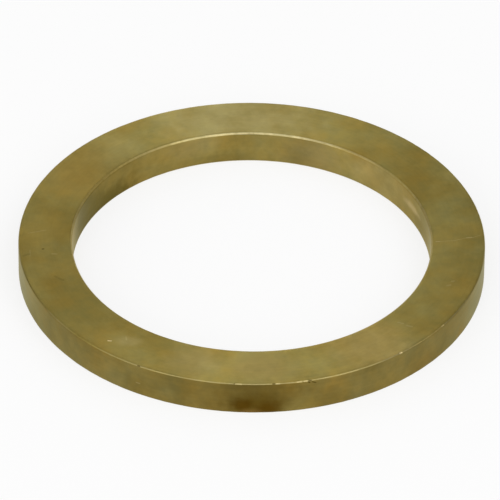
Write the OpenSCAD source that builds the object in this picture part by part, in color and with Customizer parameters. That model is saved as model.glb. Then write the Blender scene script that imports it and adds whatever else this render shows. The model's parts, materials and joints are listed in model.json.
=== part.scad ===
// Bearing washer: a flat ring turned from brass bar in one piece.
// It slides over a shaft, and its two flat faces take the end load.
// The origin is the middle of the lower face, and Z runs along the bore.

/* [Ring] */
// Diameter of the bore, which the shaft passes through
bore_d = 50; // [20:0.5:56]
// Outer diameter
outer_d = 65; // [60:0.5:130]
// Thickness between the two faces
thickness = 5; // [2:0.1:15]

/* [Broken edges] */
// Width of the 45 degree chamfer at both ends of the bore
bore_chamfer = 0.25; // [0.1:0.05:0.6]
// Width of the 45 degree chamfer at both ends of the outer wall
outer_chamfer = 0.15; // [0.1:0.05:0.6]

/* [Hidden] */
bore_r = bore_d / 2;
outer_r = outer_d / 2;
// Where the flat faces begin and end, between the chamfers
face_inner_r = bore_r + bore_chamfer;
face_outer_r = outer_r - outer_chamfer;
$fn = 180;

// Half of the ring's section, drawn with X as the radius and Y as the height
module ring_section() {
    polygon([
        [face_inner_r, 0],
        [face_outer_r, 0],
        [outer_r, outer_chamfer],
        [outer_r, thickness - outer_chamfer],
        [face_outer_r, thickness],
        [face_inner_r, thickness],
        [bore_r, thickness - bore_chamfer],
        [bore_r, bore_chamfer]
    ]);
}

// The whole part: both faces, the bore, the outer wall and the four broken edges
module washer() {
    color("#8f7f48")
    rotate_extrude()
        ring_section();
}

washer();
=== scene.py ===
"""Looks of a bearing washer: the turned ring, its dulled brass finish, and the studio that it lies in.

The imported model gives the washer's place and size. A value whose name ends in _mm is in millimetres, one that
ends in _deg is in degrees, one that ends in _px is in pixels, and every other length is in metres.
"""
import json
import logging
import math
from collections.abc import Callable
from dataclasses import dataclass, field
from enum import Enum

import bmesh
import bpy
from mathutils import Matrix, Vector
from mathutils.kdtree import KDTree


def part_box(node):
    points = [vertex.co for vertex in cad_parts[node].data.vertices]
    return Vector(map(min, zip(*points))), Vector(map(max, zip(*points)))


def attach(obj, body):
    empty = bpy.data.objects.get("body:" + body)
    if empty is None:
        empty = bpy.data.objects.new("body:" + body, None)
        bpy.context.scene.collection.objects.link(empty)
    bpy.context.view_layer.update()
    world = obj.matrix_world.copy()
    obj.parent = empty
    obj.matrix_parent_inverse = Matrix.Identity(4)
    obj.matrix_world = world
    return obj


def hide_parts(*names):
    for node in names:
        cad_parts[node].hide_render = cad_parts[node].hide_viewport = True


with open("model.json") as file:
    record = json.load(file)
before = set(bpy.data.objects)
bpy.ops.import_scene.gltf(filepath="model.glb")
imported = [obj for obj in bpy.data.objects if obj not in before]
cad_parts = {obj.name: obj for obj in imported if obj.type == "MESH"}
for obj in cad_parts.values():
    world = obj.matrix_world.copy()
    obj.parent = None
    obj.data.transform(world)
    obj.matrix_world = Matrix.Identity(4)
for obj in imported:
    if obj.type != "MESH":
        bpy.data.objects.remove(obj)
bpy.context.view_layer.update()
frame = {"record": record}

MM = 0.001
# Inputs and output of a Mix node that mixes colours
MIX_A = 6
MIX_B = 7
MIX_RESULT = 2
# How many times finer a noise gets than its main patches, in octaves
FINE_DETAIL = 3.0
CLOUD_DETAIL = 5.0
log = logging.getLogger("bearing_washer")


def linear(hex_colour: str) -> tuple[float, float, float, float]:
    """Turns an sRGB colour into the linear one that a shader takes.

    Args:
        hex_colour: six hex digits after a hash sign.

    Returns:
        Red, green, blue and a full alpha.
    """
    channels = [int(hex_colour[i : i + 2], 16) / 255 for i in (1, 3, 5)]
    red, green, blue = (c / 12.92 if c <= 0.04045 else ((c + 0.055) / 1.055) ** 2.4 for c in channels)
    return red, green, blue, 1.0


def noise_scale(size_mm: float) -> float:
    """Gives the scale of a noise whose main patches are about this wide."""
    return 1 / (size_mm * MM)


def add_node(tree: bpy.types.NodeTree, kind: str, inputs: dict | tuple = (), **settings) -> bpy.types.Node:
    """Adds a node with its settings, and fills or links its inputs.

    Args:
        tree: the node tree that takes the node.
        kind: the node's class name.
        inputs: values, or the sockets that feed them, in the order of the node's inputs or by name or number.
        **settings: the node's own properties.

    Returns:
        The new node.
    """
    node = tree.nodes.new(kind)
    for name, value in settings.items():
        setattr(node, name, value)
    pairs = inputs.items() if isinstance(inputs, dict) else enumerate(inputs)
    for socket, value in pairs:
        if isinstance(value, bpy.types.NodeSocket):
            tree.links.new(value, node.inputs[socket])
        else:
            node.inputs[socket].default_value = value
    return node


def direction(azimuth_deg: float, elevation_deg: float) -> Vector:
    """Gives the unit vector from the washer towards a place round it.

    Args:
        azimuth_deg: 0 is the front, on the -Y side, and 90 is the right, on the +X side.
        elevation_deg: angle above the floor.

    Returns:
        The unit vector.
    """
    azimuth, elevation = math.radians(azimuth_deg), math.radians(elevation_deg)
    flat = math.cos(elevation)
    return Vector((math.sin(azimuth) * flat, -math.cos(azimuth) * flat, math.sin(elevation)))


class Surface(Enum):
    """The surfaces that a mark or a spot can lie on."""

    UPPER_FACE = "upper face"
    OUTER_WALL = "outer wall"
    OUTER_EDGE = "upper outer edge"
    BORE_WALL = "bore"
    BORE_EDGE = "upper edge of the bore"


EDGES = (Surface.OUTER_EDGE, Surface.BORE_EDGE)


class Tone(Enum):
    """What a mark shows: a share of bright bare metal, or below 0 a share of dirt held in the hollow."""

    BARE = 1.0
    FAINT = 0.3
    TRACE = 0.12
    DULL = -0.2
    DIRTY = -0.75


@dataclass(frozen=True)
class Mark:
    """A nick, dent or scratch in the metal: a straight groove between two places."""

    surface: Surface
    start_mm: tuple[float, float, float]
    end_mm: tuple[float, float, float]
    width_mm: float
    depth_mm: float
    tone: Tone

    def spots(self) -> list[Vector]:
        """Follows the mark's line in steps of a quarter of its width.

        Returns:
            The places on it, in metres.
        """
        start, end = Vector(self.start_mm) * MM, Vector(self.end_mm) * MM
        steps = math.ceil((end - start).length / (self.width_mm / 4 * MM))
        return [start.lerp(end, step / steps) for step in range(steps + 1)]

    def inwards(self) -> Vector:
        """Finds the way into the metal at the middle of the mark.

        Returns:
            The unit vector.
        """
        middle = (Vector(self.start_mm) + Vector(self.end_mm)) / 2
        outwards = Vector((middle.x, middle.y, 0)).normalized()
        up = Vector((0, 0, 1))
        if self.surface is Surface.UPPER_FACE:
            return -up
        if self.surface is Surface.OUTER_WALL:
            return -outwards
        return (-outwards - up).normalized()


# Where the upper face, the outer wall and the middle of its upper broken edge lie
TOP_MM = 5.0
WALL_R_MM = 32.5
EDGE_R_MM = 32.44
EDGE_HEIGHT_MM = 4.94


def round_the_ring(
    surface: Surface,
    angle_deg: float,
    length_mm: float,
    width_mm: float,
    depth_mm: float,
    tone: Tone,
    height_mm: float = EDGE_HEIGHT_MM,
) -> Mark:
    """Gives a short mark that runs round the outside of the ring.

    Args:
        surface: the outer wall or its upper edge.
        angle_deg: where its middle lies, counter-clockwise from +X.
        length_mm: its length along the wall.
        width_mm: its width.
        depth_mm: its depth.
        tone: what it shows.
        height_mm: how high it lies above the floor.

    Returns:
        The mark.
    """
    radius_mm = EDGE_R_MM if surface is Surface.OUTER_EDGE else WALL_R_MM
    middle, half_turn = math.radians(angle_deg), length_mm / 2 / radius_mm
    start, end = (
        (radius_mm * math.cos(turn), radius_mm * math.sin(turn), height_mm)
        for turn in (middle - half_turn, middle + half_turn)
    )
    return Mark(surface, start, end, width_mm, depth_mm, tone)


# What the photograph shows on the upper face, with places from the middle of the washer
FACE_MARKS = (
    Mark(Surface.UPPER_FACE, (-19.45, -23.22, TOP_MM), (-19.05, -23.28, TOP_MM), 0.3, 0.05, Tone.BARE),
    Mark(Surface.UPPER_FACE, (25.66, 0.03, TOP_MM), (26.3, 0.1, TOP_MM), 0.2, 0.02, Tone.FAINT),
    Mark(Surface.UPPER_FACE, (26.3, 0.1, TOP_MM), (28.1, 0.28, TOP_MM), 0.18, 0.015, Tone.TRACE),
    Mark(Surface.UPPER_FACE, (28.1, 0.28, TOP_MM), (29.9, 0.97, TOP_MM), 0.2, 0.015, Tone.TRACE),
    Mark(Surface.UPPER_FACE, (29.9, 0.97, TOP_MM), (30.85, 1.11, TOP_MM), 0.22, 0.02, Tone.FAINT),
    Mark(Surface.UPPER_FACE, (30.85, 1.11, TOP_MM), (31.8, 1.6, TOP_MM), 0.2, 0.015, Tone.TRACE),
    Mark(Surface.UPPER_FACE, (-31.19, 0.86, TOP_MM), (-28.7, 1.61, TOP_MM), 0.2, 0.015, Tone.TRACE),
    Mark(Surface.UPPER_FACE, (-30.78, -3.05, TOP_MM), (-30.73, -4.42, TOP_MM), 0.2, 0.015, Tone.TRACE),
    Mark(Surface.UPPER_FACE, (-27.67, -3.83, TOP_MM), (-27.11, -3.87, TOP_MM), 0.4, 0.005, Tone.TRACE),
    Mark(Surface.UPPER_FACE, (-31.6, -4.4, TOP_MM), (-30.97, -4.01, TOP_MM), 0.5, 0.005, Tone.DULL),
    Mark(Surface.UPPER_FACE, (-27.14, -8.96, TOP_MM), (-26.6, -9.45, TOP_MM), 0.5, 0.005, Tone.DULL),
    Mark(Surface.UPPER_FACE, (-26.6, -9.45, TOP_MM), (-26.0, -9.8, TOP_MM), 0.5, 0.005, Tone.DULL),
    Mark(Surface.UPPER_FACE, (-29.03, -2.78, TOP_MM), (-28.93, -2.76, TOP_MM), 0.35, 0.015, Tone.DIRTY),
    Mark(Surface.UPPER_FACE, (27.1, -9.95, TOP_MM), (27.5, -9.83, TOP_MM), 0.45, 0.02, Tone.TRACE),
    Mark(Surface.UPPER_FACE, (27.75, -9.0, TOP_MM), (28.0, -8.92, TOP_MM), 0.4, 0.02, Tone.TRACE),
    Mark(Surface.UPPER_FACE, (20.2, -18.4, TOP_MM), (20.9, -18.68, TOP_MM), 0.35, 0.015, Tone.TRACE),
    Mark(Surface.UPPER_FACE, (21.4, -19.07, TOP_MM), (22.05, -19.3, TOP_MM), 0.4, 0.02, Tone.TRACE),
    Mark(Surface.UPPER_FACE, (-17.0, -22.4, TOP_MM), (-16.95, -23.0, TOP_MM), 0.35, 0.01, Tone.TRACE),
)
# Nicks and bright bits in the upper outer edge, with angles counter-clockwise from +X, and on the wall under
# it a pale dash and two small dark marks
OUTSIDE_MARKS = (
    round_the_ring(Surface.OUTER_EDGE, 309.2, 0.25, 0.3, 0.06, Tone.BARE),
    round_the_ring(Surface.OUTER_EDGE, 324.1, 0.4, 0.25, 0.05, Tone.FAINT),
    round_the_ring(Surface.OUTER_EDGE, 242.1, 0.25, 0.3, 0.03, Tone.DIRTY),
    round_the_ring(Surface.OUTER_EDGE, 275.7, 0.25, 0.3, 0.03, Tone.DIRTY),
    round_the_ring(Surface.OUTER_EDGE, 284.5, 0.3, 0.3, 0.03, Tone.DIRTY),
    round_the_ring(Surface.OUTER_EDGE, 266.4, 0.2, 0.25, 0.03, Tone.DIRTY),
    round_the_ring(Surface.OUTER_EDGE, 267.2, 0.8, 0.22, 0.02, Tone.FAINT),
    round_the_ring(Surface.OUTER_EDGE, 276.7, 0.45, 0.22, 0.02, Tone.FAINT),
    round_the_ring(Surface.OUTER_EDGE, 281.9, 0.6, 0.25, 0.03, Tone.FAINT),
    round_the_ring(Surface.OUTER_EDGE, 283.5, 0.45, 0.22, 0.02, Tone.FAINT),
    round_the_ring(Surface.OUTER_WALL, 242.0, 0.5, 0.25, 0.02, Tone.TRACE, height_mm=1.98),
    Mark(Surface.OUTER_WALL, (7.95, -31.51, 4.74), (8.08, -31.48, 4.64), 0.3, 0.008, Tone.DIRTY),
    Mark(Surface.OUTER_WALL, (8.43, -31.39, 4.7), (8.92, -31.25, 4.45), 0.22, 0.008, Tone.DIRTY),
)


@dataclass(frozen=True)
class Spot:
    """A soft-edged patch of another tone on the metal, round a place on the surface; some are painted light and
    shade.
    """

    surface: Surface
    middle_mm: tuple[float, float, float]
    half_mm: tuple[float, float, float]
    colour: str
    strength: float


# The dark brown patch at the front of the wall, partly a stain and partly a painted reflection of the shade at
# the wall's foot, from its faint outer part to its two dark cores and the paler foot
STAIN_AND_PAINTED_REFLECTION = (
    Spot(Surface.OUTER_WALL, (-0.4, -32.4, 3.8), (12.5, 3.0, 8.0), "#5f4a12", 0.36),
    Spot(Surface.OUTER_WALL, (1.8, -32.4, 2.6), (7.6, 3.0, 6.5), "#5f4a12", 0.38),
    Spot(Surface.OUTER_WALL, (0.9, -32.4, 1.2), (5.8, 3.0, 3.2), "#5f4a12", 0.72),
    Spot(Surface.OUTER_WALL, (-1.0, -32.4, 1.4), (2.1, 3.0, 1.5), "#5a4009", 0.8),
    Spot(Surface.OUTER_WALL, (2.5, -32.4, 0.8), (2.3, 3.0, 1.8), "#5a4009", 0.85),
    Spot(Surface.OUTER_WALL, (0.1, -32.5, 0.1), (2.1, 3.0, 1.0), "#836733", 0.8),
)
# Lighter metal low down at the front right of the outer wall, and at both its ends a greyer painted reflection
# of the white floor, which the wall shows there at a grazing angle
WALL_TONES_AND_PAINTED_REFLECTION = (
    Spot(Surface.OUTER_WALL, (7.2, -31.7, 0.6), (3.6, 3.0, 2.6), "#a09050", 0.4),
    Spot(Surface.OUTER_WALL, (19.3, -26.2, 1.0), (4.5, 4.5, 3.0), "#a4904f", 0.5),
    Spot(Surface.OUTER_WALL, (-31.6, -7.6, 1.2), (4.0, 9.0, 6.0), "#837e56", 0.6),
    Spot(Surface.OUTER_WALL, (31.4, -8.6, 1.6), (4.0, 9.0, 6.0), "#87825a", 0.6),
)
# In the bore: darker metal towards the bottom at the back and at the right end, painted shade on the left,
# darkest low down, two greyer patches at the back, and painted light on the right, which faces the brighter
# lamps, with one painted glint
BORE_TONES_AND_PAINTED_LIGHT = (
    Spot(Surface.BORE_WALL, (-8.0, 23.7, -0.2), (18.0, 9.0, 4.0), "#796c35", 0.55),
    Spot(Surface.BORE_WALL, (8.2, 23.6, 2.0), (7.0, 5.0, 5.5), "#867b54", 0.5),
    Spot(Surface.BORE_WALL, (-8.6, 23.5, 4.0), (6.0, 5.0, 3.5), "#8b7f55", 0.35),
    Spot(Surface.BORE_WALL, (-21.0, 13.2, 2.6), (9.5, 12.0, 8.0), "#897432", 0.65),
    Spot(Surface.BORE_WALL, (-20.6, 14.2, 0.4), (8.0, 9.0, 3.4), "#64561c", 0.95),
    Spot(Surface.BORE_WALL, (-23.4, 8.8, 2.4), (7.0, 8.5, 7.0), "#66581a", 0.9),
    Spot(Surface.BORE_WALL, (18.6, 16.7, 2.5), (10.0, 12.0, TOP_MM), "#beab74", 0.35),
    Spot(Surface.BORE_WALL, (24.6, 4.3, 4.5), (3.0, 6.0, 3.4), "#7f6b2c", 0.75),
    Spot(Surface.BORE_WALL, (23.8, 7.3, 1.8), (3.0, 4.8, 2.8), "#7f6b2c", 0.75),
    Spot(Surface.BORE_WALL, (22.45, 10.95, 2.8), (2.2, 4.2, 0.9), "#dcc698", 0.6),
)
# Painted highlight and shade along the upper edges, brighter where their lines catch the lamps and duller where
# they turn from them: brightest at the back of the bore and duller towards its sides, with brighter and duller
# stretches round the outer edge
PAINTED_EDGE_HIGHLIGHTS_AND_SHADE = (
    Spot(Surface.BORE_EDGE, (20.4, 14.6, TOP_MM), (7.0, 9.0, 2.0), "#a8975a", 0.9),
    Spot(Surface.BORE_EDGE, (-20.8, 14.0, TOP_MM), (8.0, 12.0, 2.0), "#bba45a", 0.9),
    Spot(Surface.BORE_EDGE, (1.0, 25.1, TOP_MM), (17.0, 6.0, 2.0), "#cbbe8c", 1.0),
    Spot(Surface.BORE_EDGE, (4.4, 24.7, TOP_MM), (2.6, 3.0, 2.0), "#a89e73", 0.9),
    Spot(Surface.BORE_EDGE, (10.6, 22.8, TOP_MM), (2.4, 3.0, 2.0), "#b0a477", 0.7),
    Spot(Surface.BORE_EDGE, (-8.5, 23.6, TOP_MM), (4.0, 3.0, 2.0), "#aea374", 0.9),
    Spot(Surface.BORE_EDGE, (6.9, 24.1, TOP_MM), (1.6, 3.0, 2.0), "#dccf9c", 0.7),
    Spot(Surface.BORE_EDGE, (-3.3, 24.9, TOP_MM), (2.8, 3.0, 2.0), "#dccf9c", 0.8),
    Spot(Surface.OUTER_EDGE, (-30.0, -12.5, TOP_MM), (7.0, 11.0, 2.0), "#726532", 0.9),
    Spot(Surface.OUTER_EDGE, (-22.6, -23.3, TOP_MM), (6.5, 6.5, 2.0), "#958440", 0.8),
    Spot(Surface.OUTER_EDGE, (31.3, -9.0, TOP_MM), (4.0, 7.0, 2.0), "#7a6c36", 0.8),
    Spot(Surface.OUTER_EDGE, (24.4, -21.5, TOP_MM), (6.0, 6.5, 2.0), "#b5a060", 0.9),
    Spot(Surface.OUTER_EDGE, (16.2, -28.1, TOP_MM), (3.0, 3.0, 2.0), "#aa9c65", 0.9),
    Spot(Surface.OUTER_EDGE, (0.9, -32.4, TOP_MM), (3.6, 3.0, 2.0), "#b3a46d", 0.9),
    Spot(Surface.OUTER_EDGE, (-11.1, -30.5, TOP_MM), (4.0, 3.0, 2.0), "#ae9e65", 0.9),
    Spot(Surface.OUTER_EDGE, (-18.4, -26.7, TOP_MM), (4.0, 4.0, 2.0), "#aa9a60", 0.9),
)
# On the upper face: painted highlight where the lamps' wedges fall, paler, at the back, the front right and
# just left of the front, browner patches on the left, painted shade between the front wedges, and a smudge at
# the front left
FACE_TONES_AND_PAINTED_HIGHLIGHTS = (
    Spot(Surface.UPPER_FACE, (-2.5, 28.5, TOP_MM), (17.0, 9.0, 3.0), "#a39866", 0.8),
    Spot(Surface.UPPER_FACE, (-24.6, 15.2, TOP_MM), (7.5, 8.0, 3.0), "#a68b44", 0.7),
    Spot(Surface.UPPER_FACE, (-19.6, 20.8, TOP_MM), (6.0, 6.0, 3.0), "#b3a468", 0.35),
    Spot(Surface.UPPER_FACE, (-28.6, 1.0, TOP_MM), (6.0, 5.0, 3.0), "#a1883f", 0.6),
    Spot(Surface.UPPER_FACE, (16.2, -23.8, TOP_MM), (8.5, 7.5, 3.0), "#b69f61", 0.62),
    Spot(Surface.UPPER_FACE, (1.5, -28.6, TOP_MM), (7.0, 5.0, 3.0), "#94844e", 0.8),
    Spot(Surface.UPPER_FACE, (-7.8, -27.6, TOP_MM), (5.5, 5.0, 3.0), "#a69660", 0.7),
    Spot(Surface.UPPER_FACE, (-16.7, -23.3, TOP_MM), (2.7, 1.6, 1.0), "#bcac76", 0.3),
)


@dataclass
class WasherRing:
    """The washer: one turned ring, with its broken edges and the marks of its use."""

    outer_r: float
    bore_r: float
    thickness: float
    bore_chamfer: float = 0.22 * MM
    outer_chamfer: float = 0.12 * MM
    bore_corner_round: float = 0.09 * MM
    outer_corner_round: float = 0.045 * MM
    corner_segments: int = 3
    steps_round: int = 600
    section_cuts: int = 19
    wear_depth: float = 0.06 * MM
    wear_size: float = 1.1 * MM
    wear_reach: float = 0.3 * MM
    wear_detail: int = 2
    # How far from a mark the mesh gets finer, once for each value
    finer_within: tuple[float, ...] = (0.6 * MM, 0.35 * MM, 0.2 * MM)
    # The share of a mark's width that is pressed to its full depth, on each side of its line
    full_depth_share: float = 0.125
    smooth_below_deg: float = 60.0
    weld: float = 0.002 * MM
    marks: tuple[Mark, ...] = FACE_MARKS + OUTSIDE_MARKS
    tone_layer: str = "mark_tone"
    piece: bpy.types.Object | None = field(default=None, init=False)
    finder: KDTree | None = field(default=None, init=False)

    def build(self) -> bpy.types.Object:
        """Makes the ring's mesh.

        Returns:
            The finished piece, at the origin.
        """
        self.draw_section()
        self.turn_section()
        self.wear_edges()
        self.refine()
        self.press_marks()
        self.smooth()
        self.tell_tones()
        return self.piece

    def pick(self, test: Callable[[Vector], bool]) -> None:
        """Selects vertices by place, in edit mode.

        Args:
            test: tells of a place whether a vertex there is selected.
        """
        bpy.context.tool_settings.mesh_select_mode = (True, False, False)
        bpy.ops.mesh.select_all(action="DESELECT")
        mesh = bmesh.from_edit_mesh(self.piece.data)
        for vertex in mesh.verts:
            vertex.select_set(test(vertex.co))
        mesh.select_flush_mode()
        bmesh.update_edit_mesh(self.piece.data)

    def draw_section(self) -> None:
        """Draws the outline of the ring's section, with its broken and slightly rounded edges."""
        middle_r = (self.bore_r + self.outer_r) / 2
        width = self.outer_r - self.bore_r
        bpy.ops.object.select_all(action="DESELECT")
        bpy.ops.mesh.primitive_plane_add(
            size=1.0, location=(middle_r, 0, self.thickness / 2), rotation=(math.pi / 2, 0, 0)
        )
        self.piece = bpy.context.active_object
        self.piece.name = "washer_turned"
        bpy.ops.transform.resize(value=(width, 1, self.thickness), orient_type="GLOBAL")
        bpy.ops.object.transform_apply(location=True, rotation=True, scale=True)
        bpy.ops.object.mode_set(mode="EDIT")
        self.pick(lambda place: place.x < middle_r)
        bpy.ops.mesh.bevel(offset=self.bore_chamfer, affect="VERTICES", segments=1)
        self.pick(lambda place: place.x > self.outer_r - self.outer_chamfer / 2)
        bpy.ops.mesh.bevel(offset=self.outer_chamfer, affect="VERTICES", segments=1)
        self.pick(lambda place: place.x < middle_r)
        bpy.ops.mesh.bevel(offset=self.bore_corner_round, affect="VERTICES", segments=self.corner_segments)
        self.pick(lambda place: place.x > middle_r)
        bpy.ops.mesh.bevel(offset=self.outer_corner_round, affect="VERTICES", segments=self.corner_segments)
        bpy.ops.mesh.select_all(action="SELECT")
        bpy.ops.mesh.delete(type="ONLY_FACE")
        bpy.context.tool_settings.mesh_select_mode = (False, True, False)
        mesh = bmesh.from_edit_mesh(self.piece.data)
        for edge in mesh.edges:
            edge.select_set(edge.calc_length() > self.thickness / 2)
        bmesh.update_edit_mesh(self.piece.data)
        bpy.ops.mesh.subdivide(number_cuts=self.section_cuts)
        bpy.ops.object.mode_set(mode="OBJECT")

    def turn_section(self) -> None:
        """Turns the section round the Z axis into a closed ring."""
        lathe = self.piece.modifiers.new("lathe", "SCREW")
        lathe.axis = "Z"
        lathe.angle = 2 * math.pi
        lathe.steps = self.steps_round
        lathe.render_steps = self.steps_round
        lathe.use_merge_vertices = True
        lathe.merge_threshold = self.weld
        bpy.ops.object.modifier_apply(modifier=lathe.name)
        bpy.ops.object.mode_set(mode="EDIT")
        bpy.ops.mesh.select_all(action="SELECT")
        bpy.ops.mesh.remove_doubles(threshold=self.weld)
        bpy.ops.mesh.normals_make_consistent(inside=False)
        bpy.ops.object.mode_set(mode="OBJECT")

    def edge_distance(self, place: Vector) -> float:
        """Measures how near a place is to the edges.

        Args:
            place: a place on the ring.

        Returns:
            Its distance from the nearest of the four broken edges.
        """
        radius = math.hypot(place.x, place.y)
        across = min(abs(radius - self.bore_r), abs(radius - self.outer_r))
        along = min(abs(place.z), abs(place.z - self.thickness))
        return math.hypot(across, along)

    def wear_edges(self) -> None:
        """Takes a little metal off the edges unevenly, as a hand file and use do."""
        group = self.piece.vertex_groups.new(name="edges")
        for vertex in self.piece.data.vertices:
            share = 1 - self.edge_distance(vertex.co) / self.wear_reach
            if share > 0:
                group.add([vertex.index], share, "REPLACE")
        cloud = bpy.data.textures.new("edge wear", "CLOUDS")
        cloud.noise_scale = self.wear_size
        cloud.noise_depth = self.wear_detail
        wear = self.piece.modifiers.new("wear", "DISPLACE")
        wear.texture = cloud
        wear.texture_coords = "LOCAL"
        wear.vertex_group = group.name
        wear.mid_level = 1.0
        wear.strength = self.wear_depth
        bpy.ops.object.modifier_apply(modifier=wear.name)
        self.piece.vertex_groups.clear()

    def near(self, mark: Mark, reach: float) -> dict[int, float]:
        """Finds the vertices near a mark.

        Args:
            mark: the nick, dent or scratch.
            reach: how far from its line to look.

        Returns:
            For the number of each vertex found, how far it lies from the line.
        """
        gaps = {}
        for spot in mark.spots():
            for _, number, gap in self.finder.find_range(spot, reach):
                gaps[number] = min(gap, gaps.get(number, gap))
        return gaps

    def find_vertices(self) -> None:
        """Files the vertices of the mesh by place."""
        self.finder = KDTree(len(self.piece.data.vertices))
        for vertex in self.piece.data.vertices:
            self.finder.insert(vertex.co, vertex.index)
        self.finder.balance()

    def choose(self, numbers: set[int], faces: bool = False) -> None:
        """Selects vertices by number, and goes into edit mode.

        Args:
            numbers: the vertices' numbers.
            faces: whether the faces that they close round are selected too.
        """
        bpy.ops.object.mode_set(mode="EDIT")
        bpy.context.tool_settings.mesh_select_mode = (True, False, False)
        bpy.ops.mesh.select_all(action="DESELECT")
        mesh = bmesh.from_edit_mesh(self.piece.data)
        mesh.verts.ensure_lookup_table()
        for number in numbers:
            mesh.verts[number].select_set(True)
        mesh.select_flush_mode()
        bmesh.update_edit_mesh(self.piece.data)
        if faces:
            bpy.context.tool_settings.mesh_select_mode = (False, False, True)

    def refine(self) -> None:
        """Makes the mesh finer round the marks, in steps that close in on them."""
        for reach in self.finer_within:
            self.find_vertices()
            numbers = {number for mark in self.marks for number in self.near(mark, reach)}
            self.choose(numbers, faces=True)
            bpy.ops.mesh.subdivide(number_cuts=1)
            bpy.ops.object.mode_set(mode="OBJECT")

    def press_marks(self) -> None:
        """Presses the marks into the metal, each deepest on its line."""
        self.find_vertices()
        for mark in self.marks:
            lowest = self.near(mark, mark.width_mm * self.full_depth_share * MM)
            if not lowest:
                log.warning("no vertex under a mark on the %s", mark.surface.value)
                continue
            self.choose(set(lowest))
            bpy.ops.transform.translate(
                value=mark.inwards() * mark.depth_mm * MM,
                use_proportional_edit=True,
                proportional_edit_falloff="SMOOTH",
                proportional_size=mark.width_mm / 2 * MM,
            )
            bpy.ops.object.mode_set(mode="OBJECT")

    def smooth(self) -> None:
        """Shades the ring smooth, and keeps its flat faces flat up to their edges."""
        bpy.ops.object.shade_smooth_by_angle(angle=math.radians(self.smooth_below_deg))
        weighted = self.piece.modifiers.new("weighted", "WEIGHTED_NORMAL")
        weighted.keep_sharp = True
        bpy.ops.object.modifier_apply(modifier=weighted.name)

    def tell_tones(self) -> None:
        """Tells the finish where bare metal and dirt show in the marks."""
        self.find_vertices()
        tones = [0.0] * len(self.piece.data.vertices)
        for mark in self.marks:
            reach = mark.width_mm / 2 * MM
            for number, gap in self.near(mark, reach).items():
                tones[number] = mark.tone.value * min(1.0, 2 * (1 - gap / reach))
        layer = self.piece.data.attributes.new(self.tone_layer, "FLOAT", "POINT")
        layer.data.foreach_set("value", tones)

    def dress(self, finish: bpy.types.Material) -> None:
        """Gives the ring its finish, and has it stand for the plain washer.

        Args:
            finish: the ring's material.
        """
        piece = self.piece
        piece.data.materials.append(finish)
        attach(piece, "root")
        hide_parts("washer")


@dataclass(frozen=True)
class SurfaceReading:
    """What the finish reads at each point of the ring, as sockets of its nodes."""

    tree: bpy.types.NodeTree
    # Object coordinates, and the way round the axis
    place: bpy.types.NodeSocket
    around: bpy.types.NodeSocket
    # 1 on a flat face, 0 on a wall, and 0.5 on an edge broken at 45 degrees
    flatness: bpy.types.NodeSocket
    # 1 on a wall and 0 on a face, and 1 on the outer half of the ring and 0 on the inner
    on_wall: bpy.types.NodeSocket
    outside: bpy.types.NodeSocket
    # For each surface between the edges, 1 on it and 0 elsewhere
    masks: dict[Surface, bpy.types.NodeSocket]
    # The tool rings' height, the fine patches of the dulled film and the raggedness of a spot's edge, each
    # from 0 to 1
    rings: bpy.types.NodeSocket
    mottle: bpy.types.NodeSocket
    ragged: bpy.types.NodeSocket


# A colour, or the socket that gives it, and a tone with the share of it that shows
Colour = bpy.types.NodeSocket | tuple[float, float, float, float]
Layer = tuple[bpy.types.NodeSocket, Colour]


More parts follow.
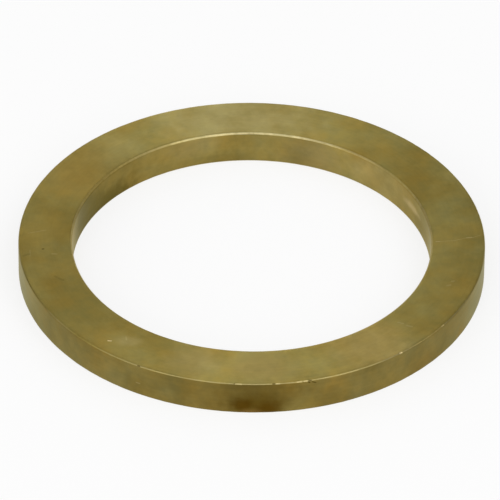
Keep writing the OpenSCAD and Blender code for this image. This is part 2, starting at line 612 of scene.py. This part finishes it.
@dataclass(frozen=True)
class TurnedBrass:
    """Brass bar turned on a lathe and then dulled by years of air and oil.

    The tool leaves fine rings round the axis, so a highlight spreads across them and shows as soft wedges on
    the faces. Air and oil dull the metal to an olive yellow, greener in some places and browner in others.
    Handling has left the scratches and parts of the edges bright. Painted light and shade lie in the colour
    too:
    paler patches where the highlight wedges fall on the face, brighter and duller stretches along the edge
    lines, the bore's right side lighter and its left darker, with a glint, a greyer reflection of the floor at
    the ends of the outer wall, a dark reflection in the stain at its front, and the outer wall darker and the
    bore lighter than the face.
    """

    bore_r: float
    outer_r: float
    tone_layer: str
    name: str = "turned brass"
    olive: str = "#a99857"
    green: str = "#a2985f"
    brown: str = "#ae954d"
    thin_film: str = "#ffffff"
    thick_film: str = "#e7e3d4"
    # How dark each surface is drawn, as a share of those tones: partly its tarnish and partly painted shade and
    # light, the outer wall darker and the bore lighter than the face
    face_shade: str = "#ebebe1"
    wall_shade: str = "#d1cdc5"
    bore_shade: str = "#f1ede3"
    rubbed: str = "#988b5d"
    bore_rubbed: str = "#b3a169"
    fresh: str = "#e8d49a"
    dirt: str = "#453506"
    edge_glow: str = "#fffde2"
    roughness: float = 0.34
    roughness_spread: float = 0.08
    anisotropy: float = 0.95
    # A quarter of a turn, so that the rings spread a highlight across them
    highlight_turn: float = 0.25
    # The tool marks are about 0.1 mm apart on the real washer, too fine to show, so they are drawn wider
    ring_mm: float = 0.5
    ring_height_mm: float = 0.004
    film_mm: float = 8.0
    cloud_mm: float = 6.0
    mottle_mm: float = 1.5
    rubbed_mm: float = 0.7
    ragged_mm: float = 1.2
    noise_roughness: float = 0.6
    film_roughness: float = 0.62
    # The part of a noise's range that each pattern is drawn from
    cloud_range: tuple[float, float, float] = (0.3, 0.5, 0.7)
    film_range: tuple[float, float] = (0.39, 0.61)
    ring_range: tuple[float, float] = (0.3, 0.7)
    mottle_range: tuple[float, float] = (0.35, 0.65)
    rubbed_range: tuple[float, float] = (0.35, 0.55)
    uneven_range: tuple[float, float] = (0.6, 1.4)
    # The least and the most that the rings and the fine patches multiply the colour by
    ring_shades: tuple[float, float] = (0.97, 1.03)
    mottle_shades: tuple[float, float] = (0.94, 1.06)
    # The least and the most that the edges are rubbed, and how much of the rubbed tone they show at the most
    rubbed_shares: tuple[float, float] = (0.6, 1.0)
    rubbed_most: float = 0.9
    # The flatness at which a surface starts to be a wall and at which it is one, and how far the flatness of
    # a broken edge lies from that of 45 degrees where its rubbed tone ends and where it is whole
    wall_range: tuple[float, float] = (0.5, 0.1)
    edge_range: tuple[float, float] = (0.4, 0.2)
    flatness_at_45: float = 0.5
    # How far out a spot ends and from where in it is whole, as shares of its half sizes
    spot_range: tuple[float, float] = (1.25, 0.45)
    spot_ragged: float = 0.5
    # The spots of other tones, with those of painted light and shade
    spots: tuple[Spot, ...] = STAIN_AND_PAINTED_REFLECTION + WALL_TONES_AND_PAINTED_REFLECTION + BORE_TONES_AND_PAINTED_LIGHT + FACE_TONES_AND_PAINTED_HIGHLIGHTS + PAINTED_EDGE_HIGHLIGHTS_AND_SHADE

    def make(self) -> bpy.types.Material:
        """Makes the material.

        Returns:
            The material, which reads Object coordinates, the normal and the marks' own attribute.
        """
        material = bpy.data.materials.new(self.name)
        material.use_nodes = True
        tree = material.node_tree
        tree.nodes.clear()
        at = self.read_surface(tree)
        uneven = add_node(tree, "ShaderNodeMath", (at.mottle, at.rings), operation="ADD").outputs[0]
        half_spread = self.roughness_spread / 2
        roughness = (self.roughness - half_spread, self.roughness + half_spread)
        rough = add_node(tree, "ShaderNodeMapRange", (uneven, *self.uneven_range, *roughness)).outputs[0]
        depth = self.ring_height_mm * MM
        relief = add_node(
            tree, "ShaderNodeBump", {"Height": at.rings, "Strength": 1.0, "Distance": depth}
        ).outputs[0]
        shader = add_node(
            tree,
            "ShaderNodeBsdfPrincipled",
            {
                "Base Color": self.add_colour(at),
                "Metallic": 1.0,
                "Roughness": rough,
                "Specular Tint": linear(self.edge_glow),
                "Anisotropic": self.anisotropy,
                "Anisotropic Rotation": self.highlight_turn,
                "Tangent": at.around,
                "Normal": relief,
            },
        )
        add_node(tree, "ShaderNodeOutputMaterial", {"Surface": shader.outputs["BSDF"]})
        return material

    def read_surface(self, tree: bpy.types.NodeTree) -> SurfaceReading:
        """Adds the nodes that tell where on the ring a point lies, and how the tool left it there.

        Args:
            tree: the material's nodes.

        Returns:
            Their sockets.
        """
        coordinates = add_node(tree, "ShaderNodeTexCoord").outputs
        place = coordinates["Object"]
        axis = add_node(tree, "ShaderNodeCombineXYZ", {"Z": 1.0}).outputs[0]
        around = add_node(tree, "ShaderNodeVectorMath", (axis, place), operation="CROSS_PRODUCT").outputs[0]
        radius = add_node(tree, "ShaderNodeVectorMath", (around,), operation="LENGTH").outputs["Value"]
        slope = add_node(tree, "ShaderNodeSeparateXYZ", (coordinates["Normal"],)).outputs["Z"]
        flatness = add_node(tree, "ShaderNodeMath", (slope, slope), operation="MULTIPLY").outputs[0]
        on_wall = add_node(tree, "ShaderNodeMapRange", (flatness, *self.wall_range, 0.0, 1.0)).outputs[0]
        middle_r = (self.bore_r + self.outer_r) / 2
        outside = add_node(tree, "ShaderNodeMath", (radius, middle_r), operation="GREATER_THAN").outputs[0]
        outer = add_node(tree, "ShaderNodeMath", (on_wall, outside), operation="MULTIPLY").outputs[0]
        bore = add_node(tree, "ShaderNodeMath", (on_wall, outer), operation="SUBTRACT").outputs[0]
        face = add_node(tree, "ShaderNodeMath", (1.0, on_wall), operation="SUBTRACT").outputs[0]
        masks = {Surface.UPPER_FACE: face, Surface.OUTER_WALL: outer, Surface.BORE_WALL: bore}
        rings = self.add_rings(tree, place, radius)
        mottle, ragged = (
            add_node(
                tree,
                "ShaderNodeTexNoise",
                {"Vector": place, "Scale": noise_scale(size_mm), "Detail": FINE_DETAIL},
            ).outputs["Fac"]
            for size_mm in (self.mottle_mm, self.ragged_mm)
        )
        return SurfaceReading(tree, place, around, flatness, on_wall, outside, masks, rings, mottle, ragged)

    def add_rings(
        self, tree: bpy.types.NodeTree, place: bpy.types.NodeSocket, radius: bpy.types.NodeSocket
    ) -> bpy.types.NodeSocket:
        """Adds the tool's rings, which run round the axis on the faces and on the walls alike.

        Args:
            tree: the material's nodes.
            place: Object coordinates.
            radius: distance from the axis.

        Returns:
            The rings' height, from 0 to 1.
        """
        height = add_node(tree, "ShaderNodeSeparateXYZ", (place,)).outputs["Z"]
        along_section = add_node(tree, "ShaderNodeMath", (radius, height), operation="ADD").outputs[0]
        return add_node(
            tree,
            "ShaderNodeTexNoise",
            {
                "W": along_section,
                "Scale": noise_scale(self.ring_mm),
                "Detail": FINE_DETAIL,
                "Roughness": self.noise_roughness,
            },
            noise_dimensions="1D",
        ).outputs["Fac"]

    def add_colour(self, at: SurfaceReading) -> bpy.types.NodeSocket:
        """Adds the metal's colour, from the dulled olive to the bare edges and the marks, and painted light and
        shade.

        Args:
            at: what the finish reads at each point.

        Returns:
            The colour.
        """
        tree = at.tree
        colour = self.lay_on(tree, self.add_dull_metal_and_surface_shade(at), self.add_spots(at, on_edges=False))
        colour = self.add_shade(at, colour)
        # The edges' rubbed tone, with the painted highlight and shade along the edge lines laid on it
        edge_tones = [(at.outside, linear(self.rubbed)), *self.add_spots(at, on_edges=True)]
        edge_tone = self.lay_on(tree, linear(self.bore_rubbed), edge_tones)
        tone = add_node(tree, "ShaderNodeAttribute", attribute_name=self.tone_layer).outputs["Fac"]
        scratched = add_node(tree, "ShaderNodeMath", (tone, 0.0), operation="MAXIMUM").outputs[0]
        dirty = add_node(tree, "ShaderNodeMath", (tone, -1.0), operation="MULTIPLY", use_clamp=True)
        layers = [
            (self.add_edges(at), edge_tone),
            (scratched, linear(self.fresh)),
            (dirty.outputs[0], linear(self.dirt)),
        ]
        return self.lay_on(tree, colour, layers)

    def lay_on(self, tree: bpy.types.NodeTree, ground: Colour, layers: list[Layer]) -> bpy.types.NodeSocket:
        """Lays tones on a colour, each over the ones before it.

        Args:
            tree: the material's nodes.
            ground: the colour under them.
            layers: the tones, each after the share of it that shows.

        Returns:
            The colour with the tones on it.
        """
        for share, tone in layers:
            ground = add_node(
                tree, "ShaderNodeMix", {0: share, MIX_A: ground, MIX_B: tone}, data_type="RGBA"
            ).outputs[MIX_RESULT]
        return ground

    def add_dull_metal_and_surface_shade(self, at: SurfaceReading) -> bpy.types.NodeSocket:
        """Adds the dulled metal, in clouds of green, olive and brown, with each surface's own shade, partly
        tarnish and partly painted shade and light.

        Args:
            at: what the finish reads at each point.

        Returns:
            The colour.
        """
        tree = at.tree
        clouds = add_node(
            tree,
            "ShaderNodeTexNoise",
            {
                "Vector": at.place,
                "Scale": noise_scale(self.cloud_mm),
                "Detail": CLOUD_DETAIL,
                "Roughness": self.noise_roughness,
            },
        ).outputs["Fac"]
        tones = add_node(tree, "ShaderNodeValToRGB", {"Fac": clouds})
        green_at, olive_at, brown_at = self.cloud_range
        stops = tones.color_ramp.elements
        stops[0].position, stops[0].color = green_at, linear(self.green)
        stops[1].position, stops[1].color = brown_at, linear(self.brown)
        stops.new(olive_at).color = linear(self.olive)
        # Painted shade and light for each surface on top of its tarnish: the outer wall darker, the bore
        # lighter
        wall = self.lay_on(tree, linear(self.bore_shade), [(at.outside, linear(self.wall_shade))])
        tarnish_and_painted_shade = self.lay_on(tree, linear(self.face_shade), [(at.on_wall, wall)])
        return add_node(
            tree,
            "ShaderNodeMix",
            {0: 1.0, MIX_A: tones.outputs["Color"], MIX_B: tarnish_and_painted_shade},
            data_type="RGBA",
            blend_type="MULTIPLY",
        ).outputs[MIX_RESULT]

    def add_shade(self, at: SurfaceReading, colour: bpy.types.NodeSocket) -> bpy.types.NodeSocket:
        """Shades a colour by the film on the metal, the tool's rings and the fine patches.

        Args:
            at: what the finish reads at each point.
            colour: the colour.

        Returns:
            The shaded colour.
        """
        tree = at.tree
        filmed = add_node(
            tree,
            "ShaderNodeMix",
            {0: 1.0, MIX_A: colour, MIX_B: self.add_film(at)},
            data_type="RGBA",
            blend_type="MULTIPLY",
        ).outputs[MIX_RESULT]
        lines = add_node(
            tree, "ShaderNodeMapRange", (at.rings, *self.ring_range, *self.ring_shades)
        ).outputs[0]
        patches = add_node(
            tree, "ShaderNodeMapRange", (at.mottle, *self.mottle_range, *self.mottle_shades)
        ).outputs[0]
        shade = add_node(tree, "ShaderNodeMath", (lines, patches), operation="MULTIPLY").outputs[0]
        return add_node(
            tree, "ShaderNodeVectorMath", {0: filmed, "Scale": shade}, operation="SCALE"
        ).outputs[0]

    def add_film(self, at: SurfaceReading) -> bpy.types.NodeSocket:
        """Adds the film of old oil and air, which lies thicker in some places than in others.

        Args:
            at: what the finish reads at each point.

        Returns:
            What the film lets through, darker and yellower where it is thick.
        """
        film = add_node(
            at.tree,
            "ShaderNodeTexNoise",
            {
                "Vector": at.place,
                "Scale": noise_scale(self.film_mm),
                "Detail": CLOUD_DETAIL,
                "Roughness": self.film_roughness,
            },
        ).outputs["Fac"]
        thin = add_node(at.tree, "ShaderNodeMapRange", (film, *self.film_range, 0.0, 1.0)).outputs[0]
        return self.lay_on(at.tree, linear(self.thick_film), [(thin, linear(self.thin_film))])

    def add_edges(self, at: SurfaceReading) -> bpy.types.NodeSocket:
        """Adds how much of the rubbed tone shows, which is on the broken edges alone, and more in places.

        Args:
            at: what the finish reads at each point.

        Returns:
            The share of the rubbed tone.
        """
        tree = at.tree
        tilt = add_node(
            tree, "ShaderNodeMath", (at.flatness, self.flatness_at_45), operation="SUBTRACT"
        ).outputs[0]
        from_45 = add_node(tree, "ShaderNodeMath", (tilt,), operation="ABSOLUTE").outputs[0]
        edge = add_node(
            tree, "ShaderNodeMapRange", (from_45, *self.edge_range, 0.0, self.rubbed_most)
        ).outputs[0]
        uneven = add_node(
            tree,
            "ShaderNodeTexNoise",
            {"Vector": at.place, "Scale": noise_scale(self.rubbed_mm), "Detail": FINE_DETAIL},
        ).outputs["Fac"]
        rubbed = add_node(
            tree, "ShaderNodeMapRange", (uneven, *self.rubbed_range, *self.rubbed_shares)
        ).outputs[0]
        return add_node(tree, "ShaderNodeMath", (edge, rubbed), operation="MULTIPLY").outputs[0]

    def add_spots(self, at: SurfaceReading, on_edges: bool) -> list[Layer]:
        """Adds the spots of another tone, and those of painted light and shade.

        Args:
            at: what the finish reads at each point.
            on_edges: whether to add those of the broken edges, or those of the faces and the walls.

        Returns:
            The spots' tones, each after the share of it that shows.
        """
        chosen = [spot for spot in self.spots if (spot.surface in EDGES) == on_edges]
        return [(self.add_spot(at, spot), linear(spot.colour)) for spot in chosen]

    def add_spot(self, at: SurfaceReading, spot: Spot) -> bpy.types.NodeSocket:
        """Adds one spot of another tone, cut off at the end of its surface unless it is on an edge.

        Args:
            at: what the finish reads at each point.
            spot: the spot.

        Returns:
            The share of the spot's own colour, from 0 to its strength.
        """
        tree = at.tree
        centred = add_node(
            tree,
            "ShaderNodeMapping",
            {
                "Vector": at.place,
                "Location": [-middle / half for middle, half in zip(spot.middle_mm, spot.half_mm)],
                "Scale": [1 / (half * MM) for half in spot.half_mm],
            },
        ).outputs[0]
        reach = add_node(tree, "ShaderNodeVectorMath", (centred,), operation="LENGTH").outputs["Value"]
        edge = add_node(
            tree, "ShaderNodeMath", (at.ragged, self.spot_ragged, reach), operation="MULTIPLY_ADD"
        ).outputs[0]
        share = add_node(
            tree,
            "ShaderNodeMapRange",
            (edge, *self.spot_range, 0.0, spot.strength),
            interpolation_type="SMOOTHSTEP",
        ).outputs[0]
        if spot.surface in EDGES:
            return share
        mask = at.masks[spot.surface]
        return add_node(tree, "ShaderNodeMath", (share, mask), operation="MULTIPLY").outputs[0]


@dataclass(frozen=True)
class Softbox:
    """A lamp behind a white cloth, which lights the washer evenly from one side."""

    name: str
    azimuth_deg: float
    elevation_deg: float
    distance: float
    size: tuple[float, float]
    radiance: float

    def hang(self, aim: Vector) -> None:
        """Hangs the lamp and turns it towards the washer.

        Args:
            aim: the middle of the washer.
        """
        width, height = self.size
        lamp = bpy.data.lights.new(self.name, "AREA")
        lamp.shape = "RECTANGLE"
        lamp.size = width
        lamp.size_y = height
        lamp.energy = self.radiance * math.pi * width * height
        holder = bpy.data.objects.new(self.name, lamp)
        bpy.context.scene.collection.objects.link(holder)
        towards = direction(self.azimuth_deg, self.elevation_deg)
        holder.location = aim + towards * self.distance
        holder.rotation_euler = towards.to_track_quat("Z", "Y").to_euler()


# The lamps, with azimuths from the front towards the right, and widths and heights in metres
LAMPS = (
    Softbox("front_strip", azimuth_deg=343, elevation_deg=46, distance=1.9, size=(0.75, 2.6), radiance=0.95),
    Softbox("front_left", azimuth_deg=325, elevation_deg=38, distance=1.9, size=(1.4, 1.6), radiance=0.85),
    Softbox("front_right", azimuth_deg=33, elevation_deg=42, distance=1.9, size=(1.2, 2.0), radiance=1.6),
    Softbox("right", azimuth_deg=58, elevation_deg=42, distance=1.85, size=(0.75, 1.5), radiance=0.45),
    Softbox("right_side", azimuth_deg=85, elevation_deg=50, distance=1.85, size=(0.9, 1.2), radiance=0.6),
    Softbox("left", azimuth_deg=300, elevation_deg=22, distance=1.95, size=(1.3, 1.1), radiance=1.1),
    Softbox("left_side", azimuth_deg=262, elevation_deg=24, distance=1.9, size=(1.2, 1.2), radiance=0.55),
    Softbox("back_strip", azimuth_deg=183, elevation_deg=40, distance=1.85, size=(0.16, 1.6), radiance=1.8),
    Softbox("back_low", azimuth_deg=180, elevation_deg=6, distance=1.9, size=(3.6, 0.38), radiance=0.8),
)


@dataclass(frozen=True)
class Studio:
    """A plain white floor, soft lamps and a dim room round them."""

    floor_colour: str = "#f2f2f2"
    white: str = "#ffffff"
    floor_size: float = 8.0
    floor_drop: float = 0.02 * MM
    floor_glow: float = 0.78
    room_light: float = 0.48
    lamps: tuple[Softbox, ...] = LAMPS

    def build(self, aim: Vector) -> None:
        """Lays the floor, hangs the lamps and lights the room.

        Args:
            aim: the middle of the washer.
        """
        self.lay_floor()
        for lamp in self.lamps:
            lamp.hang(aim)
        self.light_room()

    def add_seen(self, tree: bpy.types.NodeTree) -> bpy.types.NodeSocket:
        """Adds what tells that a ray is the camera's own, or comes to it by a reflection.

        Args:
            tree: the floor's nodes.

        Returns:
            1 for such a ray, and 0 for one that carries light to a dull surface.
        """
        rays = add_node(tree, "ShaderNodeLightPath").outputs
        seen = add_node(
            tree, "ShaderNodeMath", (rays["Is Camera Ray"], rays["Is Glossy Ray"]), operation="MAXIMUM"
        ).outputs[0]
        return add_node(
            tree, "ShaderNodeMath", (seen, rays["Is Transmission Ray"]), operation="MAXIMUM"
        ).outputs[0]

    def lay_floor(self) -> None:
        """Lays the floor just under the washer, in matt white paint, which spreads light with no gloss."""
        bpy.ops.object.select_all(action="DESELECT")
        bpy.ops.mesh.primitive_plane_add(size=self.floor_size, location=(0, 0, -self.floor_drop))
        floor = bpy.context.active_object
        floor.name = "floor"
        material = bpy.data.materials.new("matt white paint")
        material.use_nodes = True
        tree = material.node_tree
        tree.nodes.clear()
        paint = add_node(tree, "ShaderNodeBsdfDiffuse", {"Color": linear(self.floor_colour)})
        glow = add_node(tree, "ShaderNodeEmission", {"Color": linear(self.white), "Strength": 1.0})
        share = add_node(
            tree, "ShaderNodeMath", (self.add_seen(tree), self.floor_glow), operation="MULTIPLY"
        ).outputs[0]
        mixed = add_node(
            tree, "ShaderNodeMixShader", (share, paint.outputs["BSDF"], glow.outputs["Emission"])
        )
        add_node(tree, "ShaderNodeOutputMaterial", {"Surface": mixed.outputs["Shader"]})
        floor.data.materials.append(material)

    def light_room(self) -> None:
        """Lights the room evenly, and shows the camera white past the floor."""
        world = bpy.data.worlds.new("room")
        bpy.context.scene.world = world
        world.use_nodes = True
        tree = world.node_tree
        tree.nodes.clear()
        rays = add_node(tree, "ShaderNodeLightPath").outputs
        white = linear(self.white)
        light = add_node(tree, "ShaderNodeBackground", {"Color": white, "Strength": self.room_light})
        shown = add_node(tree, "ShaderNodeBackground", {"Color": white, "Strength": 1.0})
        mixed = add_node(
            tree,
            "ShaderNodeMixShader",
            (rays["Is Camera Ray"], light.outputs["Background"], shown.outputs["Background"]),
        )
        add_node(tree, "ShaderNodeOutputWorld", {"Surface": mixed.outputs["Shader"]})


@dataclass(frozen=True)
class PhotoCamera:
    """The camera: a long lens in front of the washer, looking down on it."""

    distance: float = 948.5 * MM
    lens_mm: float = 489.67
    sensor_mm: float = 36.0
    elevation_deg: float = 37.25
    roll_deg: float = 0.686
    # Where the washer's middle lies in the picture, in pixels right of and below the picture's own middle
    right_px: float = 1.583
    down_px: float = 3.708
    picture_px: int = 500
    nearest: float = 0.05
    furthest: float = 20.0

    def build(self, aim: Vector) -> None:
        """Sets the camera up.

        Args:
            aim: the middle of the washer.
        """
        lens = bpy.data.cameras.new("camera")
        lens.lens = self.lens_mm
        lens.sensor_width = self.sensor_mm
        lens.clip_start = self.nearest
        lens.clip_end = self.furthest
        camera = bpy.data.objects.new("camera", lens)
        bpy.context.scene.collection.objects.link(camera)
        back = direction(0, self.elevation_deg)
        roll = Matrix.Rotation(math.radians(self.roll_deg), 3, "Z")
        turned = back.to_track_quat("Z", "Y").to_matrix() @ roll
        pixel = self.distance * self.sensor_mm / self.lens_mm / self.picture_px
        shift = turned @ Vector((-self.right_px * pixel, self.down_px * pixel, 0))
        camera.matrix_world = Matrix.Translation(aim + back * self.distance + shift) @ turned.to_4x4()
        bpy.context.scene.camera = camera


def mount_radius(name: str) -> float:
    """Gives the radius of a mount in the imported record, in metres."""
    mounts = {mount["name"]: mount for mount in frame["record"]["mounts"]}
    return mounts[name]["dims"]["r_mm"] * MM


def main() -> None:
    """Builds the washer, its studio and its camera."""
    logging.basicConfig(level=logging.INFO, format="%(name)s: %(message)s")
    low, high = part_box("washer")
    aim = (low + high) / 2
    PhotoCamera().build(aim)
    washer = WasherRing(outer_r=high.x, bore_r=mount_radius("bore"), thickness=high.z - low.z)
    piece = washer.build()
    finish = TurnedBrass(bore_r=washer.bore_r, outer_r=washer.outer_r, tone_layer=washer.tone_layer)
    washer.dress(finish.make())
    log.info("%s: %d faces", piece.name, len(piece.data.polygons))
    Studio().build(aim)
    bpy.context.scene.view_settings.view_transform = "Standard"


if __name__ == "__main__":
    main()
